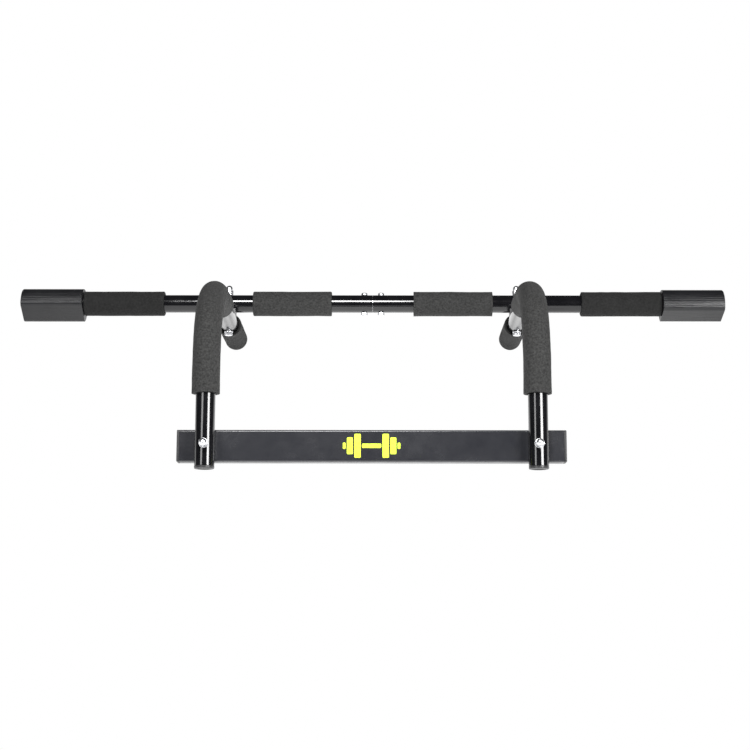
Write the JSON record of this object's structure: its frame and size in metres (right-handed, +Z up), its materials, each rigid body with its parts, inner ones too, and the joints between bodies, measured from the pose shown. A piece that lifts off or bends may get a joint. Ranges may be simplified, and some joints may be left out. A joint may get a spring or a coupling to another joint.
{
  "type": "pull up bar",
  "caption": "Doorway pull up bar: padded cross bar on bent arms, a flat bar that hooks over the door trim, foam grips and swivelling end pads.",
  "frame": {"origin": "middle of the bounding box's bottom face, on the floor that the part stands on", "axes": "+X along the cross bar, +Y from the flat bar towards the handles, +Z up as the part stands on the flat bar's lower edge and the ends of the two handle grips. In the doorway the part is turned over about X, so that the arms' short legs point up behind the wall and their long legs run level under the lintel."},
  "size_m": [1, 0.4784, 0.1928],
  "materials": {
    "gloss_paint": "gloss black paint on round steel tube",
    "satin_paint": "semi-gloss black powder coat",
    "foam": "matte closed-cell foam",
    "pad_rubber": "satin moulded rubber with fine lengthwise ribs",
    "black_plastic": "moulded black plastic",
    "zinc": "bright zinc plating",
    "lime_print": "printed lime mark"
  },
  "bodies": {
    "root": {"flat_bar": "satin_paint", "bar_joint_sleeve": "zinc", "left_arm_tube": "gloss_paint", "left_bar_tube": "gloss_paint", "left_arm_grip": "foam", "left_handle_grip": "foam", "left_inner_grip": "foam", "left_outer_grip": "foam", "left_foot_plug": "black_plastic", "left_handle_plug": "black_plastic", "left_flat_bar_plug": "black_plastic", "left_saddle": "black_plastic", "left_arm_bolt": "zinc", "left_arm_bolt_washer": "zinc", "left_arm_nut_washer": "zinc", "left_arm_dome_nut": "zinc", "left_flat_bar_bolt": "zinc", "left_flat_bar_bolt_washer": "zinc", "left_flat_bar_nut_washer": "zinc", "left_flat_bar_dome_nut": "zinc", "left_joint_screw": "zinc", "left_joint_nut": "zinc", "right_arm_tube": "gloss_paint", "right_bar_tube": "gloss_paint", "right_arm_grip": "foam", "right_handle_grip": "foam", "right_inner_grip": "foam", "right_outer_grip": "foam", "right_foot_plug": "black_plastic", "right_handle_plug": "black_plastic", "right_flat_bar_plug": "black_plastic", "right_saddle": "black_plastic", "right_arm_bolt": "zinc", "right_arm_bolt_washer": "zinc", "right_arm_nut_washer": "zinc", "right_arm_dome_nut": "zinc", "right_flat_bar_bolt": "zinc", "right_flat_bar_bolt_washer": "zinc", "right_flat_bar_nut_washer": "zinc", "right_flat_bar_dome_nut": "zinc", "right_joint_screw": "zinc", "right_joint_nut": "zinc"},
    "left_pad": {"left_end_pad": "pad_rubber"},
    "right_pad": {"right_end_pad": "pad_rubber"}
  },
  "joints": [
    {"name": "left_pad_swivel", "type": "hinge", "parent": "root", "child": "left_pad", "pos_m": [-0.4565, 0.14186, 0.09918], "axis": [1, 0, 0], "continuous": true},
    {"name": "right_pad_swivel", "type": "hinge", "parent": "root", "child": "right_pad", "pos_m": [0.4565, 0.14186, 0.09918], "axis": [1, 0, 0], "continuous": true}
  ]
}
